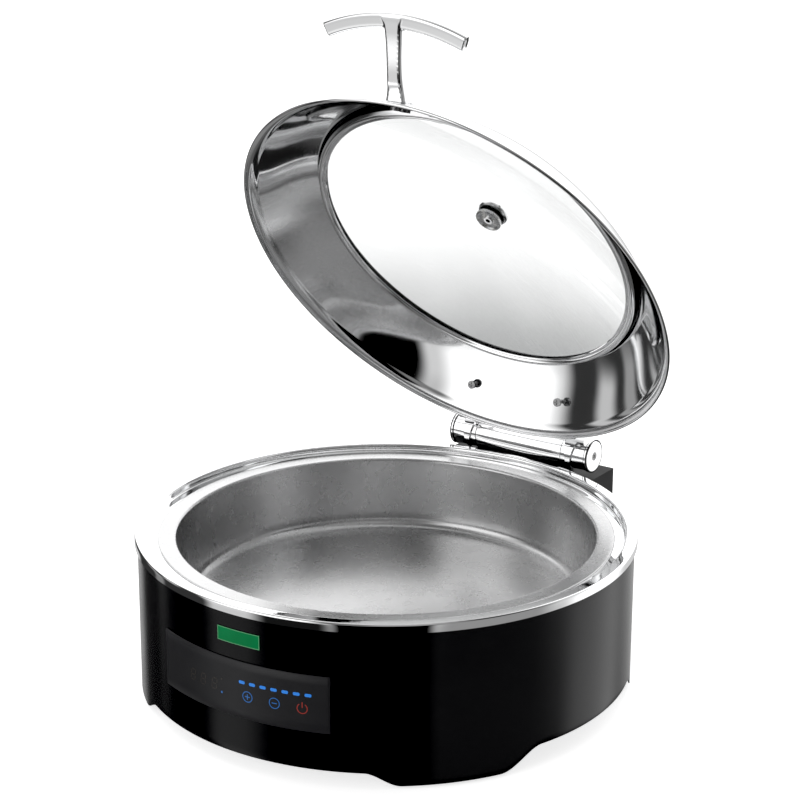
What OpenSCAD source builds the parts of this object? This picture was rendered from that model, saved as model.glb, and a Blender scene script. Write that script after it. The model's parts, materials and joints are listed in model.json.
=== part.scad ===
// Round electric buffet server with a hinged glass-window lid.
// Millimetres, +Z up. The origin is on the base axis at the table plane.
// The control panel faces -Y, the hinge is on the +Y side.
// The lid is drawn closed and then turned about the hinge to its rest angle.

/* [Base] */
// Radius of the bright rim ring
ring_r = 215; // [212:0.5:218]
// Height of the rim ring above the table
ring_z = 142; // [136:1:150]
// Height of the bright band around the top of the body
band_h = 7.5; // [5:0.5:10]
// Radius of the black body
skirt_r = 212.5; // [211:0.5:212.5]
// Sheet thickness of the black body
skirt_t = 1.2; // [0.8:0.1:1.5]
// Height of the lower edge at the front and rear arches
arch_front_z = 13; // [10:0.5:13.5]
// Height of the lower edge at the side arches
arch_side_z = 19; // [14:0.5:20]
// Ground clearance under the foot lobes
lobe_z = 2; // [1:0.5:4]

/* [Pans] */
// Outer radius of the food pan flange
pan_flange_r = 195; // [192:0.5:197]
// Radius of the food pan opening
pan_open_r = 179.4; // [176:0.2:180]
// Depth of the food pan
pan_depth = 64; // [50:1:66]
// Sheet thickness of the food pan
pan_t = 0.8; // [0.7:0.1:1]
// Height of the water pan floor above the table
water_floor_z = 52; // [50:1:54]

/* [Lid] */
// Outer radius of the lid rim
lid_r = 206.5; // [204:0.5:208]
// Sheet thickness of the lid
lid_t = 0.8; // [0.7:0.1:1]
// Height of the window lip above the lid rim
lip_h = 51; // [48:0.5:54]
// Radius of the window lip
lip_r = 149; // [147:0.5:150]
// Height of the glass top above the lid rim
glass_top_h = 81; // [76:1:88]
// Glass thickness
glass_t = 4; // [3:0.5:5]
// Lid angle from closed at rest
open_angle = 56.8; // [0:0.2:90]

/* [Handle] */
// Length of the handle bar between its ends
bar_l = 136; // [110:2:150]
// Width of the handle bar
bar_w = 11; // [9:0.5:13]
// Thickness of the handle bar
bar_t = 7.5; // [6:0.5:9]

/* [Hinge] */
// Distance of the hinge axis behind the base axis
hinge_y = 228; // [227.5:0.5:238]
// Height of the hinge axis above the rim ring
hinge_h = 9; // [7.5:0.5:10]
// Radius of the hinge tube
tube_r = 14.5; // [13:0.5:14.5]
// Half the length of the fixed barrel
barrel_half = 46; // [40:1:48]
// Distance from the middle to each end cap face
cap_x = 74; // [70:1:78]

/* [Panel] */
// Half the angle covered by the touch panel
panel_half = 22.8; // [18:0.2:26]
// Lower edge of the touch panel
panel_z0 = 46; // [40:1:52]
// Upper edge of the touch panel
panel_z1 = 95; // [88:1:100]

/* [Hidden] */
$fn = 96;
hz = ring_z + hinge_h;              // hinge axis height
rim_z = ring_z + 0.5;               // underside of the closed lid rim
ring_t = 1.2;
flange_z = ring_z - 5.6;            // top of the food pan flange
floor_z = flange_z - pan_depth;     // inside floor of the food pan
plate_z = arch_side_z + 1;          // underside of the base plate
plate_t = 1.2;
shield_z = plate_z + 5.2;           // underside of the heat shield
foot_at = [[60, 188], [-60, 188], [120, 188], [-120, 188]]; // angle from the front, radius
stud_at = [45, 135, 225, 315];
glass_s = 370;                      // radius of the glass dome
glass_c = glass_top_h - glass_s;    // centre height of the glass dome
bar_c = [-244.9, 56.7];             // bar middle: distance toward the hinge, height above rim
bar_dir = 157;                      // outward direction of the handle stem in that plane
led_a = [for (i = [0:6]) 2.3 + 2.62 * i];
key_a = [3.7, 10.3, 16.7];

// ---------- helpers ----------
function arc(c, r, a0, a1, n = 6) =
    [for (i = [0:n]) let (a = a0 + (a1 - a0) * i / n) c + r * [cos(a), sin(a)]];
function unit(v) = v / norm(v);
function left_of(p, i) =
    let (d = p[min(i + 1, len(p) - 1)] - p[max(i - 1, 0)]) unit([-d[1], d[0]]);
// closed outline of a sheet: path p is one face, the other face lies t to its left
function sheet(p, t) = concat(p, [for (i = [len(p) - 1:-1:0]) p[i] + t * left_of(p, i)]);
// foot flank: smooth step from [x0, z0] to [x1, z1]
function flank(x0, z0, x1, z1, n = 8) =
    [for (i = [0:n]) let (k = i / n) [x0 + (x1 - x0) * k, z0 + (z1 - z0) * k * k * (3 - 2 * k)]];

module ring2(r0, r1, z0, z1) {
    rotate_extrude() translate([r0, z0]) square([r1 - r0, z1 - z0]);
}
// sector of a ring, angles measured from the front (-Y) toward +X
module sector(r0, r1, z0, z1, a0, a1) {
    rotate([0, 0, -90 + a0]) rotate_extrude(angle = a1 - a0)
        translate([r0, z0]) square([r1 - r0, z1 - z0]);
}
// place children at angle a from the front, radius r, with local -Y outward
module at_angle(a, r = 0) { rotate([0, 0, a]) translate([0, -r, 0]) children(); }
// outline with rounded corners
module pill(w, h, r) {
    translate([-w / 2 + r, -h / 2]) square([w - 2 * r, h]);
    translate([-w / 2, -h / 2 + r]) square([w, h - 2 * r]);
    for (x = [-1, 1], y = [-1, 1]) translate([x * (w / 2 - r), y * (h / 2 - r)]) circle(r, $fn = 24);
}
module along_x(x0, x1, r, n = 64) {
    translate([x0, 0, 0]) rotate([0, 90, 0]) cylinder(h = x1 - x0, r = r, $fn = n);
}
module screw(d, l, hd, hh) { // head on top at z = 0, shank down
    translate([0, 0, -l]) cylinder(h = l, d = d, $fn = 24);
    difference() {
        cylinder(h = hh, d = hd, $fn = 32);
        for (a = [0, 90]) rotate([0, 0, a]) translate([-hd * 0.3, -0.4, hh - 0.8]) cube([hd * 0.6, 0.8, 1]);
    }
}
module lid_pose() {
    translate([0, hinge_y, hz]) rotate([-open_angle, 0, 0]) translate([0, -hinge_y, -hz]) children();
}
module lid_local() { lid_pose() translate([0, 0, rim_z]) children(); }

// ---------- base ----------
module side_arch() {
    p = concat([[-106, -5]], flank(-106, lobe_z, -70, arch_side_z), flank(70, arch_side_z, 106, lobe_z),
        [[106, -5]]);
    for (m = [0, 1]) mirror([m, 0, 0]) translate([100, 0, 0]) rotate([90, 0, 90])
        linear_extrude(130) polygon(p);
}
module front_arch() {
    p = concat([[-131, -5]], flank(-131, lobe_z, -106, arch_front_z),
        flank(106, arch_front_z, 131, lobe_z), [[131, -5]]);
    for (m = [0, 1]) mirror([0, m, 0]) translate([0, -100, 0]) rotate([90, 0, 0])
        linear_extrude(130) polygon(p);
}
module outer_skirt() {
    color([0.02, 0.02, 0.022]) difference() {
        union() {
            ring2(skirt_r - skirt_t, skirt_r, lobe_z, ring_z - ring_t - 0.05);
            ring2(206, skirt_r, ring_z - ring_t - 1.25, ring_z - ring_t - 0.05);
        }
        side_arch();
        front_arch();
        sector(205, 220, panel_z0 + 3, panel_z1 - 3, -panel_half + 1, panel_half - 1);
        translate([-14, 200, 31]) cube([28, 20, 21]);
        for (x = [-20, 20]) translate([x, 200, 41.5]) rotate([-90, 0, 0]) cylinder(h = 20, d = 3.4, $fn = 24);
        for (x = [-50, 50], z = [84, 118]) translate([x, 190, z]) rotate([-90, 0, 0])
            cylinder(h = 30, d = 5.4, $fn = 24);
    }
}
module rim_ring() {
    o = ring_r; z = ring_z;
    p = concat([[o, z - band_h]], arc([o - 2, z - 2], 2, 0, 90), arc([206.3, z - 2], 2, 90, 180),
        arc([202.8, z - 5.5], 1.5, 0, -90, 4), [[188, z - 7]]);
    color([0.86, 0.87, 0.88]) rotate_extrude($fn = 180) polygon(sheet(p, ring_t));
}
module water_pan() {
    z = ring_z - 7 - ring_t;
    p = concat([[203, z]], arc([189, z - 3], 3, 90, 180), arc([170, water_floor_z + 12], 12, 0, -90),
        [[0, water_floor_z]]);
    color([0.7, 0.7, 0.71]) {
        rotate_extrude($fn = 144) polygon(sheet(p, 1));
        for (a = stud_at) at_angle(a, 60) translate([0, 0, 32]) cylinder(h = water_floor_z - 32.5, d = 4, $fn = 24);
    }
}
module food_pan() {
    o = pan_open_r; z = flange_z;
    p = concat([[pan_flange_r + 0.4, ring_z - 6.95]], arc([pan_flange_r - 0.6, z - 1], 1, 0, 90, 3),
        arc([o + 2.5, z - 2.5], 2.5, 90, 180), arc([o - 16, floor_z + 9], 9, 6, -90),
        [[0, floor_z]]);
    color([0.66, 0.66, 0.67]) rotate_extrude($fn = 180) polygon(sheet(p, pan_t));
}
module base_plate() {
    color([0.1, 0.1, 0.11]) difference() {
        union() {
            translate([0, 0, plate_z]) cylinder(h = plate_t, r = 209, $fn = 144);
            ring2(209, 210.2, plate_z, plate_z + 7);
        }
        for (f = foot_at) at_angle(f[0], f[1]) cylinder(h = 40, d = 5, $fn = 24);
        for (a = [30:60:330]) at_angle(a, 200) cylinder(h = 40, d = 4.4, $fn = 24);
        for (s = [-1, 1], i = [-4:4]) translate([i * 11 - 2, s * 95 - 22, 0]) cube([4, 44, 40]);
    }
}
module skirt_brackets() {
    color([0.4, 0.4, 0.42]) for (a = [30:60:330]) at_angle(a, 0) difference() {
        union() {
            translate([-8, -207, plate_z + plate_t]) cube([16, 16, 1.5]);
            translate([-8, -208.5, plate_z + plate_t]) cube([16, 1.5, 20]);
            translate([-8, -211.1, plate_z + 8.6]) cube([16, 3, 10]);
        }
        translate([0, -200, 0]) cylinder(h = 60, d = 3.6, $fn = 24);
    }
}
module base_plate_screws() {
    color([0.7, 0.7, 0.7]) for (a = [30:60:330]) at_angle(a, 200) translate([0, 0, plate_z])
        mirror([0, 0, 1]) screw(3.4, 6, 8, 2);
}
module rubber_feet() {
    color([0.05, 0.05, 0.05]) for (f = foot_at) at_angle(f[0], f[1]) difference() {
        union() {
            cylinder(h = plate_z, r1 = 15, r2 = 16.5, $fn = 48);
            translate([0, 0, plate_z]) cylinder(h = 3, d = 4.8, $fn = 24);
        }
        translate([0, 0, -1]) cylinder(h = 8, d = 11, $fn = 32);
        cylinder(h = 40, d = 3.6, $fn = 24);
    }
}
module foot_screws() {
    color([0.7, 0.7, 0.7]) for (f = foot_at) at_angle(f[0], f[1]) translate([0, 0, 7])
        mirror([0, 0, 1]) screw(3.6, 17, 9, 2.4);
}
// ---------- controls ----------
module control_panel() {
    color([0.07, 0.07, 0.08])
        sector(skirt_r, skirt_r + 1.2, panel_z0, panel_z1, -panel_half, panel_half);
}
module panel_frame() {
    color([0.12, 0.12, 0.12]) difference() {
        sector(skirt_r - 5, skirt_r - skirt_t, panel_z0 - 3, panel_z1 + 3, -panel_half - 1, panel_half + 1);
        sector(190, 230, panel_z0 + 5, panel_z1 - 5, -panel_half + 2, panel_half - 2);
    }
}
module display_module() {
    color([0.15, 0.15, 0.15]) at_angle(-8.3, 0) translate([-17, -209.5, 61]) cube([34, 10.5, 18]);
}
module led_light_guides() {
    color([0.7, 0.85, 1]) for (a = led_a) at_angle(a, 0)
        translate([-2, -210.8, 76.4]) cube([4, 210.8 - 195 / cos(a), 2.2]);
}
module touch_springs() {
    color([0.85, 0.85, 0.86]) for (a = key_a) at_angle(a, 0) translate([0, -210.8, 66]) rotate([-90, 0, 0])
        difference() {
            cylinder(h = 210.8 - 195.8 / cos(a), d = 8, $fn = 32);
            translate([0, 0, -1]) cylinder(h = 20, d = 6.6, $fn = 32);
        }
}
module control_board() {
    color([0.05, 0.3, 0.12]) {
        translate([-58, -194, 50]) cube([116, 1.6, 41]);
        for (x = [-54, 50], z = [52, 86]) translate([x, -199, z]) cube([4, 5.5, 4]);
    }
    color([0.1, 0.1, 0.1]) translate([22, -192.4, 56]) cube([14, 3, 14]);
}
module name_badge() {
    color([0, 0.42, 0.2]) sector(skirt_r, skirt_r + 0.8, 108.7, 120.8, -4.2, 6.8);
}
// ---------- electrics ----------
module power_board() {
    color([0.05, 0.3, 0.12]) difference() {
        translate([-52, -178, plate_z + 10]) cube([104, 56, 1.6]);
        for (x = [-47, 47], y = [-173, -127]) translate([x, y, 0]) cylinder(h = 60, d = 3.4, $fn = 24);
    }
}
module board_spacers() {
    color([0.9, 0.9, 0.85]) for (x = [-47, 47], y = [-173, -127]) translate([x, y, plate_z + plate_t]) {
        cylinder(h = 10 - plate_t, d = 7, $fn = 6);
        cylinder(h = 12.4, d = 3.2, $fn = 24);
        translate([0, 0, 10.4]) cylinder(h = 1.5, d = 6, $fn = 24);
    }
}
module relay() {
    color([0.1, 0.1, 0.12]) translate([-38, -168, plate_z + 11.6]) cube([19, 16, 15]);
}
module transformer() {
    color([0.75, 0.7, 0.3]) difference() {
        translate([2, -166, plate_z + 11.6]) cube([30, 26, 17]);
        for (x = [8.5, 19.5]) translate([x, -170, plate_z + 15]) cube([6, 6, 10]);
    }
    color([0.65, 0.3, 0.1]) for (x = [8.5, 19.5]) translate([x, -165.8, plate_z + 15]) cube([6, 1.8, 10]);
}
module heating_plate() {
    color([0.75, 0.75, 0.76]) difference() {
        translate([0, 0, water_floor_z - 9]) cylinder(h = 8, r = 95);
        ring2(71.3, 78.7, water_floor_z - 10, water_floor_z - 1.8);
        for (a = stud_at) at_angle(a, 60) cylinder(h = 80, d = 4.6, $fn = 24);
        translate([0, 0, water_floor_z - 10]) cylinder(h = 10, d = 26);
    }
}
module heating_element() {
    z = water_floor_z - 5.4;
    color([0.35, 0.33, 0.32]) {
        rotate([0, 0, 102]) rotate_extrude(angle = 336) translate([75, z]) circle(3.5, $fn = 32);
        for (a = [103, 77]) rotate([0, 0, a]) translate([75, 0, z - 13]) cylinder(h = 13.2, r = 2.6, $fn = 32);
    }
    color([0.85, 0.83, 0.8]) for (a = [103, 77]) rotate([0, 0, a]) translate([75, 0, z - 18])
        cylinder(h = 5.2, r = 4.5, $fn = 32);
}
module element_way() {
    for (a = [102, 78]) rotate([0, 0, a]) translate([75, 0, 0]) cylinder(h = 60, r = 5.5, $fn = 32);
}
module insulation_disc() {
    color([0.93, 0.9, 0.83]) difference() {
        translate([0, 0, water_floor_z - 13]) cylinder(h = 4, r = 93);
        for (a = stud_at) at_angle(a, 60) cylinder(h = 80, d = 4.6, $fn = 24);
        translate([0, 0, 20]) cylinder(h = 40, d = 26);
        element_way();
    }
}
module clamp_plate() {
    color([0.6, 0.6, 0.62]) difference() {
        translate([0, 0, water_floor_z - 14.5]) cylinder(h = 1.5, r = 88);
        for (a = stud_at) at_angle(a, 60) cylinder(h = 80, d = 4.6, $fn = 24);
        translate([0, 0, 20]) cylinder(h = 40, d = 30);
        element_way();
        for (a = [0:60:300]) at_angle(a, 33) cylinder(h = 60, d = 12, $fn = 32);
    }
}
module clamp_nuts() {
    color([0.75, 0.75, 0.72]) for (a = stud_at) at_angle(a, 60) translate([0, 0, water_floor_z - 17.7])
        difference() {
            cylinder(h = 3.2, d = 8, $fn = 6);
            translate([0, 0, -1]) cylinder(h = 6, d = 4, $fn = 24);
        }
}
module heat_shield() {
    color([0.72, 0.73, 0.74]) difference() {
        union() {
            translate([0, 0, shield_z]) cylinder(h = 0.8, r = 112);
            ring2(111.2, 112, shield_z, shield_z + 6);
        }
        for (a = [60:120:300]) at_angle(a, 104) cylinder(h = 60, d = 3.4, $fn = 24);
        translate([-27, 60, 0]) cube([54, 60, 40]);
    }
}
module shield_spacers() {
    color([0.8, 0.8, 0.8]) for (a = [60:120:300]) at_angle(a, 104) translate([0, 0, plate_z + plate_t]) {
        cylinder(h = shield_z - plate_z - plate_t, d = 7, $fn = 6);
        cylinder(h = shield_z - plate_z + 2, d = 3.2, $fn = 24);
        translate([0, 0, shield_z - plate_z - plate_t + 0.8]) cylinder(h = 1.4, d = 6, $fn = 24);
    }
}
module temperature_probe() {
    color([0.8, 0.8, 0.8]) {
        translate([0, 0, water_floor_z - 9]) cylinder(h = 8, d = 8, $fn = 32);
        translate([0, 0, water_floor_z - 17]) cylinder(h = 8, d = 12, $fn = 32);
    }
    color([0.9, 0.88, 0.8]) translate([0, 0, water_floor_z - 21]) cylinder(h = 4, d = 5, $fn = 24);
}
module thermal_cutout() {
    color([0.15, 0.13, 0.12]) at_angle(-150, 125) translate([0, 0, water_floor_z - 12])
        cylinder(h = 11, d = 16, $fn = 32);
    color([0.8, 0.8, 0.8]) at_angle(-150, 125) translate([-12, -4, water_floor_z - 3]) cube([24, 8, 2]);
}
module terminal_block() {
    color([0.92, 0.9, 0.84]) difference() {
        translate([26, 150, plate_z + plate_t]) cube([34, 20, 14]);
        for (x = [33, 43, 53]) translate([x, 160, plate_z + 9]) cylinder(h = 20, d = 6, $fn = 24);
    }
}
module power_inlet() {
    color([0.06, 0.06, 0.06]) difference() {
        union() {
            translate([-25, 212.6, 28.5]) cube([50, 2.4, 26]);
            translate([-13.6, 188, 31.4]) cube([27.2, 25, 20.2]);
        }
        translate([-11.5, 198, 33.5]) cube([23, 20, 16]);
        for (x = [-20, 20]) translate([x, 205, 41.5]) rotate([-90, 0, 0]) cylinder(h = 20, d = 3.2, $fn = 24);
    }
    color([0.8, 0.78, 0.7]) for (x = [-7, 0, 7]) translate([x - 1, 198, 40 + (x == 0 ? 3 : 0)])
        cube([2, 13, 4]);
    color([0.8, 0.78, 0.7]) for (x = [-7, 0, 7]) translate([x - 3, 180, 41]) cube([6, 8.5, 0.8]);
}
module inlet_screws() {
    color([0.7, 0.7, 0.7]) for (x = [-20, 20]) translate([x, 215, 41.5]) rotate([-90, 0, 0])
        screw(3, 12, 6, 1.8);
}
module wire(p, r) {
    for (i = [0:len(p) - 2]) let (d = p[i + 1] - p[i], l = norm(d)) translate(p[i]) {
        rotate([0, acos(d[2] / l), atan2(d[1], d[0])]) cylinder(h = l, r = r, $fn = 24);
        if (i > 0) sphere(r + 0.25, $fn = 24);
    }
}
module heater_wiring() {
    z = water_floor_z - 24;
    color([0.8, 0.1, 0.08]) wire([[16.9, 73.1, z - 1.1], [18, 88, z - 1], [32, 128, z - 1], [33, 149.8, z]], 1.5);
    color([0.1, 0.2, 0.7]) wire([[-16.9, 73.1, z - 1.1], [-18, 96, z - 1], [-8, 132, z - 1], [20, 176, z - 1],
        [43, 176, z], [43, 170.2, z]], 1.5);
}
// ---------- hinge, fixed half ----------
module hinge_housing() {
    color([0.03, 0.03, 0.032]) difference() {
        translate([-78, 190, 70]) cube([156, 68, 61.5]);
        translate([-76.5, 180, 71.5]) cube([153, 76.5, 58.5]);
        translate([0, 0, 60]) cylinder(h = 80, r = skirt_r, $fn = 144);
        translate([-44.2, 219.5, 128]) cube([88.4, 25, 6]);
    }
}
module hinge_bracket() {
    color([0.04, 0.04, 0.045]) difference() {
        union() {
            for (x = [-44, 38]) translate([x, 0, 0]) rotate([90, 0, 90]) linear_extrude(6)
                polygon([[217, 78], [217, 126], [223, 133], [223, 136], [243, 136], [243, 120], [228, 78]]);
            translate([-62, 215.5, 76]) cube([124, 3, 50]);
            translate([0, hinge_y, hz]) along_x(-44, 44, 17);
            translate([-44, 223, 126]) cube([88, 20, 14]);
            for (x = [-50, 50], z = [84, 118]) translate([x, 200, z]) rotate([-90, 0, 0])
                cylinder(h = 17, d = 12, $fn = 32);
        }
        translate([0, hinge_y, hz]) along_x(-60, 60, tube_r);
        translate([-60, 200, hz - 6]) cube([120, 80, 40]);
        translate([0, 0, 60]) cylinder(h = 100, r = skirt_r, $fn = 144);
        translate([0, 0, 130]) cylinder(h = 100, r = ring_r + 0.3, $fn = 144);
        for (x = [-50, 50], z = [84, 118]) translate([x, 200, z]) rotate([-90, 0, 0])
            cylinder(h = 30, d = 5.2, $fn = 24);
    }
}
module bracket_screws() {
    color([0.7, 0.7, 0.7]) for (x = [-50, 50], z = [84, 118]) translate([x, 218.5, z]) rotate([-90, 0, 0]) {
        translate([0, 0, -21]) cylinder(h = 25, d = 5, $fn = 24);
        cylinder(h = 4, d = 8.6, $fn = 6);
        translate([0, 0, -17]) cylinder(h = 2.6, d = 9, $fn = 32);
    }
}
module hinge_barrel() {
    color([0.88, 0.89, 0.9]) translate([0, hinge_y, hz]) difference() {
        along_x(-barrel_half, barrel_half, tube_r, 96);
        along_x(-barrel_half - 1, barrel_half + 1, tube_r - 2);
    }
}
module hinge_bushings() {
    color([0.9, 0.9, 0.86]) for (x = [-barrel_half, barrel_half - 10]) translate([0, hinge_y, hz]) difference() {
        along_x(x, x + 10, tube_r - 2);
        along_x(x - 1, x + 11, 5.06);
    }
}
module hinge_damper() {
    color([0.2, 0.2, 0.22]) translate([0, hinge_y, hz]) difference() {
        along_x(-barrel_half + 10.5, barrel_half - 10.5, tube_r - 2);
        along_x(-barrel_half, barrel_half, 5.5);
    }
}
// ---------- lid ----------
// outer face of the lid from the rim bead to the window lip, in [radius, height above rim]
function lid_face() = concat(
    arc([lid_r - 1.6, 1.6], 1.6, -120, 40, 8),
    [for (k = [0.15:0.17:1]) [lid_r - 2.2 - 7 * k, 3 + 6.4 * k - 1.1 * sin(180 * k)]],
    [for (k = [0.03:0.0485:1]) let (a = [lid_r - 9.2, 9.4], b = [lip_r + 5, lip_h - 1.6])
        a + (b - a) * k + 2 * sin(180 * k) * unit([b[1] - a[1], a[0] - b[0]])],
    arc([lip_r + 1.5, lip_h - 4.5], 4.5, 50, 100, 4), [[lip_r, lip_h - 0.05]]);
module lid_solid() { // everything on the inner side of the outer face
    rotate_extrude($fn = 144) polygon(concat([[0, -1]], [[lid_r - 2, -1]],
        lid_face(), [[0, lip_h]]));
}
module lid_shell() {
    color([0.85, 0.86, 0.87]) lid_local() difference() {
        rotate_extrude($fn = 180) polygon(sheet(lid_face(), lid_t));
        for (x = [-46, 46]) translate([x, 174.5, 22]) rotate([-41, 0, 0]) cylinder(h = 20, d = 4.4, center = true, $fn = 24);
        for (d = [-7, 7]) handle_bolt_axis(d) cylinder(h = 20, d = 5.4, center = true, $fn = 24);
    }
}
module glass_window() {
    color([0.8, 0.85, 0.86, 0.35]) lid_local() difference() {
        intersection() {
            translate([0, 0, glass_c]) sphere(glass_s, $fn = 360);
            translate([0, 0, 30]) cylinder(h = 80, r = 152, $fn = 144);
        }
        translate([0, 0, glass_c]) sphere(glass_s - glass_t, $fn = 360);
        cylinder(h = 120, d = 9, $fn = 32);
    }
}
module glass_seal() {
    color([0.16, 0.16, 0.16]) lid_local() difference() {
        rotate_extrude($fn = 144) polygon(concat([[lip_r, lip_h - 5], [152.9, lip_h - 5]],
            arc([lip_r + 1.5, lip_h - 4.5], 3.6, 45, 90, 4), [[lip_r, lip_h - 0.95]]));
        translate([0, 0, glass_c]) intersection() {
            sphere(glass_s, $fn = 360);
            cylinder(h = 500, r = 152, $fn = 144);
        }
    }
}
module retaining_ring() {
    color([0.8, 0.81, 0.82]) lid_local() rotate_extrude($fn = 144)
        polygon(sheet(concat([[146.2, 43.4]], arc([148, 43.2], 1.7, 170, 10, 6),
            arc([151.4, 43.6], 1.5, -160, -20, 5), [[154.2, 44.6]]), -0.9));
}
module vent_cap() {
    color([0.87, 0.88, 0.89]) lid_local() difference() {
        union() {
            rotate_extrude() polygon(concat([[0, glass_top_h + 0.6], [13, glass_top_h + 0.6]],
                arc([11, glass_top_h + 3.2], 3, -20, 80, 6), [[5, glass_top_h + 7.2], [0, glass_top_h + 7.6]]));
            translate([0, 0, glass_top_h - 9]) cylinder(h = 10, d = 8, $fn = 32);
        }
        translate([0, 0, glass_top_h - 10]) cylinder(h = 16, d = 4.4, $fn = 32);
        for (a = [45:90:315]) rotate([0, 0, a]) translate([0, 0, glass_top_h + 4]) rotate([0, 90, 0])
            cylinder(h = 20, d = 1.8, $fn = 16);
    }
}
module vent_seal() {
    color([0.06, 0.06, 0.06]) lid_local() {
        ring2(4, 11, glass_top_h - glass_t - 2.2, glass_top_h - glass_t - 0.2);
        ring2(4, 12.4, glass_top_h, glass_top_h + 0.6);
    }
}
module vent_disc() {
    z = glass_top_h - glass_t - 2.2;
    color([0.7, 0.7, 0.7]) lid_local() difference() {
        rotate_extrude() polygon([[4, z], [12, z], [12.4, z - 1], [12, z - 2.6], [10.5, z - 3], [9, z - 2],
            [6, z - 1.6], [4, z - 1.6]]);
        translate([0, 0, z - 5]) cylinder(h = 10, d = 8, $fn = 32);
    }
}
// handle, drawn with the stem along +X of its own plane
module handle() {
    arc_r = (pow(bar_l / 2, 2) + 13.8 * 13.8) / (2 * 13.8);
    half = asin(bar_l / 2 / arc_r);
    color([0.9, 0.9, 0.91]) lid_local() difference() {
        translate([0, bar_c[0], bar_c[1]]) rotate([0, 0, -90]) rotate([0, bar_dir - 180, 0]) union() {
            // bar
            translate([-arc_r, 0, 0]) rotate([0, 0, -half]) rotate_extrude(angle = 2 * half, $fn = 180)
                translate([arc_r, 0]) pill(bar_w, bar_t, 2.6);
            // stem
            intersection() {
                rotate([90, 0, 0]) translate([0, 0, -30]) linear_extrude(60) difference() {
                    translate([-92, -16]) square([92, 20.5]);
                    translate([-34, -62.6]) circle(59, $fn = 180);
                    translate([-12, -50]) square([40, 46.2]);
                }
                translate([0, 0, -30]) linear_extrude(60) difference() {
                    translate([-92, -17]) square([90, 34]);
                    for (s = [-1, 1]) {
                        translate([-38, s * 64.8]) circle(60, $fn = 180);
                        translate([-10, s * 22]) circle(14, $fn = 96);
                    }
                }
            }
        }
        lid_solid();
        for (d = [-7, 7]) handle_bolt_axis(d) cylinder(h = 14, d = 4.7, $fn = 24);
    }
}
// axis of a handle screw, +Z outward through the lid wall
module handle_bolt_axis(d) {
    translate([0, -178 - d * 0.75, 26 - d * 0.66]) rotate([41.4, 0, 0]) children();
}
module handle_screws() {
    color([0.75, 0.75, 0.75]) lid_local() for (d = [-7, 7])
        handle_bolt_axis(d) translate([0, 0, -2.2]) mirror([0, 0, 1]) screw(4.6, 9, 9, 2.6);
}
module hinge_arm() {
    lid_pose() {
        difference() {
            union() {
                // hub
                translate([0, hinge_y, hz]) along_x(barrel_half + 0.3, cap_x - 3, tube_r, 96);
                // arm from the hub to the lid
                translate([barrel_half + 0.6, 0, 0]) rotate([90, 0, 90]) linear_extrude(16)
                    polygon(concat([[160, rim_z + 30], [162.5, rim_z + 38]],
                        [[188, rim_z + 17], [205, rim_z + 12.5]],
                        arc([hinge_y, hz], 16.3, 110, 60, 5), [[hinge_y, hz], [hinge_y - 13, hz + 2],
                        [205, rim_z + 4], [190, rim_z + 6]]));
                // lug lapping round the hub, narrowing to a point
                intersection() {
                    translate([0, hinge_y, hz]) along_x(barrel_half, 72, 16.3, 96);
                    translate([barrel_half + 8.6, hinge_y, hz]) rotate([20, 0, 0]) rotate([90, 0, 0])
                        linear_extrude(30) polygon([[-8, 17], [8, 17], [1.6, -17], [-1.6, -17]]);
                }
            }
            translate([0, 0, rim_z]) lid_solid();
            translate([0, hinge_y, hz]) along_x(0, 90, 5);
            translate([46, 174.5, rim_z + 22]) rotate([-41, 0, 0]) cylinder(h = 40, d = 3.8, center = true, $fn = 24);
        }
    }
}
module hinge_arm_right() { color([0.87, 0.88, 0.89]) hinge_arm(); }
module hinge_arm_left() { color([0.87, 0.88, 0.89]) mirror([1, 0, 0]) hinge_arm(); }
module lid_hinge_screws() {
    color([0.7, 0.7, 0.7]) lid_local() for (x = [-46, 46])
        translate([x, 174.5, 22]) rotate([-41, 0, 0]) translate([0, 0, -2.4])
            mirror([0, 0, 1]) screw(3.8, 8, 7.6, 2.4);
}
module hinge_shaft() {
    color([0.6, 0.6, 0.62]) lid_pose() translate([0, hinge_y, hz]) difference() {
        along_x(-cap_x + 3, cap_x - 3, 5);
        for (x = [-cap_x, cap_x - 12]) along_x(x, x + 12, 2, 24);
    }
}
module hinge_end_caps() {
    color([0.9, 0.9, 0.91]) lid_pose() translate([0, hinge_y, hz]) for (m = [0, 1]) mirror([m, 0, 0]) difference() {
        translate([cap_x - 3, 0, 0]) rotate([0, 90, 0]) rotate_extrude() difference() {
            square([tube_r + 0.8, 3]);
            translate([tube_r + 0.1, 2.3]) rotate([0, 0, 45]) translate([0, -2]) square([2, 4]);
        }
        along_x(cap_x - 5, cap_x + 1, 2.2, 24);
        along_x(cap_x - 1, cap_x + 1, 4, 32);
    }
}
module cap_screws() {
    color([0.65, 0.65, 0.65]) lid_pose() translate([0, hinge_y, hz]) for (m = [0, 1]) mirror([m, 0, 0])
        translate([cap_x - 1, 0, 0]) rotate([0, 90, 0]) screw(4, 10, 7.4, 0.9);
}

outer_skirt();
rim_ring();
water_pan();
food_pan();
base_plate();
base_plate_screws();
skirt_brackets();
rubber_feet();
foot_screws();
control_panel();
panel_frame();
display_module();
led_light_guides();
touch_springs();
control_board();
name_badge();
power_board();
board_spacers();
relay();
transformer();
heating_plate();
heating_element();
insulation_disc();
clamp_plate();
clamp_nuts();
heat_shield();
shield_spacers();
temperature_probe();
thermal_cutout();
terminal_block();
power_inlet();
inlet_screws();
heater_wiring();
hinge_housing();
hinge_bracket();
bracket_screws();
hinge_barrel();
hinge_bushings();
hinge_damper();
lid_shell();
glass_window();
glass_seal();
retaining_ring();
vent_cap();
vent_seal();
vent_disc();
handle();
handle_screws();
hinge_arm_left();
hinge_arm_right();
lid_hinge_screws();
hinge_shaft();
hinge_end_caps();
cap_screws();
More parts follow.
